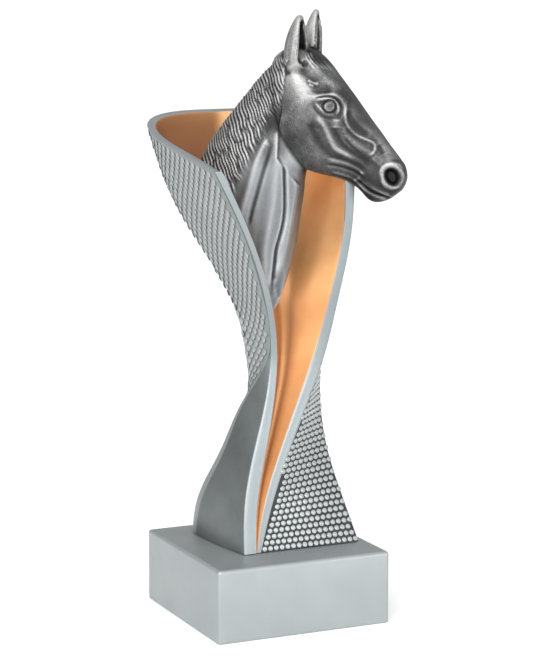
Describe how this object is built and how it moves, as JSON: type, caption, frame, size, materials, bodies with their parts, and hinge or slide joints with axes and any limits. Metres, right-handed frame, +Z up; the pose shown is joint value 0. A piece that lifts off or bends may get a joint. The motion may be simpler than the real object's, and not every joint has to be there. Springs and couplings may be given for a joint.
{
  "type": "horse trophy",
  "caption": "Award figure of a horse's head and neck rising from a twisted silver and copper cup-topped column on a square plinth; stands on a shelf or table.",
  "frame": {"origin": "middle of the plinth's underside", "axes": "+Z up, -Y towards the plinth's front face, which is the side of the channel, +X to the right when facing that front"},
  "size_m": [0.075, 0.0712, 0.2094],
  "materials": {
    "plinth_silver": "satin silver paint over cast resin",
    "column_silver": "satin silver paint with copper inside the cup and antique pewter on the horse"
  },
  "bodies": {
    "root": {"plinth": "plinth_silver", "horse_column": "column_silver"}
  },
  "joints": []
}
